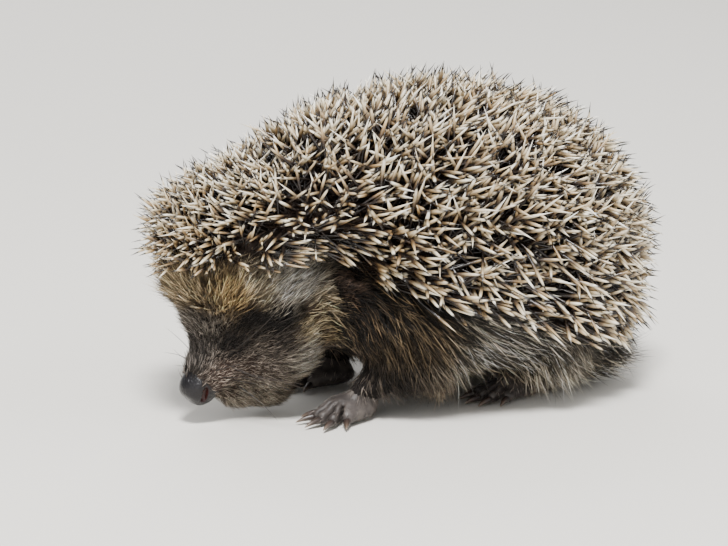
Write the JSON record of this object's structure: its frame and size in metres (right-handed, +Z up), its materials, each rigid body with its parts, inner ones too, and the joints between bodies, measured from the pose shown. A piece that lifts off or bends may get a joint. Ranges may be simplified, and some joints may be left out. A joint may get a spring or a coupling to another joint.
{
  "type": "young european hedgehog",
  "caption": "Life-size young hedgehog on the move, back arched under its spines and nose held just above the ground; a still model.",
  "frame": {"origin": "middle of the footprint, on the floor under the soles", "axes": "+X towards the rump, so the head faces -X; +Y towards the animal's right side; +Z up"},
  "size_m": [0.1352, 0.0906, 0.079],
  "materials": {
    "spines": "cream and brown banded keratin, faint sheen",
    "body_fur": "coarse dark brown guard hair with pale tips",
    "face_fur": "short dense brown hair",
    "nose": "moist, finely pebbled bare skin",
    "eye": "wet black",
    "ear": "thin dark skin under short down",
    "bare_skin": "dark grey-brown creased skin with sparse hair",
    "claw": "horn, worn smooth"
  },
  "bodies": {
    "root": {"mantle_back": "spines", "mantle_hood": "spines", "head": "face_fur", "muzzle": "face_fur", "lower_jaw": "face_fur", "neck": "body_fur", "trunk": "body_fur", "fore_leg_left": "body_fur", "fore_leg_right": "body_fur", "hind_leg_left": "body_fur", "hind_leg_right": "body_fur", "nose": "nose", "eye_left": "eye", "eye_right": "eye", "ear_left": "ear", "ear_right": "ear", "fore_foot_left": "bare_skin", "fore_foot_right": "bare_skin", "hind_foot_left": "bare_skin", "hind_foot_right": "bare_skin", "tail": "bare_skin", "fore_foot_left_claw_1": "claw", "fore_foot_left_claw_2": "claw", "fore_foot_left_claw_3": "claw", "fore_foot_left_claw_4": "claw", "fore_foot_left_claw_5": "claw", "fore_foot_right_claw_1": "claw", "fore_foot_right_claw_2": "claw", "fore_foot_right_claw_3": "claw", "fore_foot_right_claw_4": "claw", "fore_foot_right_claw_5": "claw", "hind_foot_left_claw_1": "claw", "hind_foot_left_claw_2": "claw", "hind_foot_left_claw_3": "claw", "hind_foot_left_claw_4": "claw", "hind_foot_left_claw_5": "claw", "hind_foot_right_claw_1": "claw", "hind_foot_right_claw_2": "claw", "hind_foot_right_claw_3": "claw", "hind_foot_right_claw_4": "claw", "hind_foot_right_claw_5": "claw"}
  },
  "joints": []
}
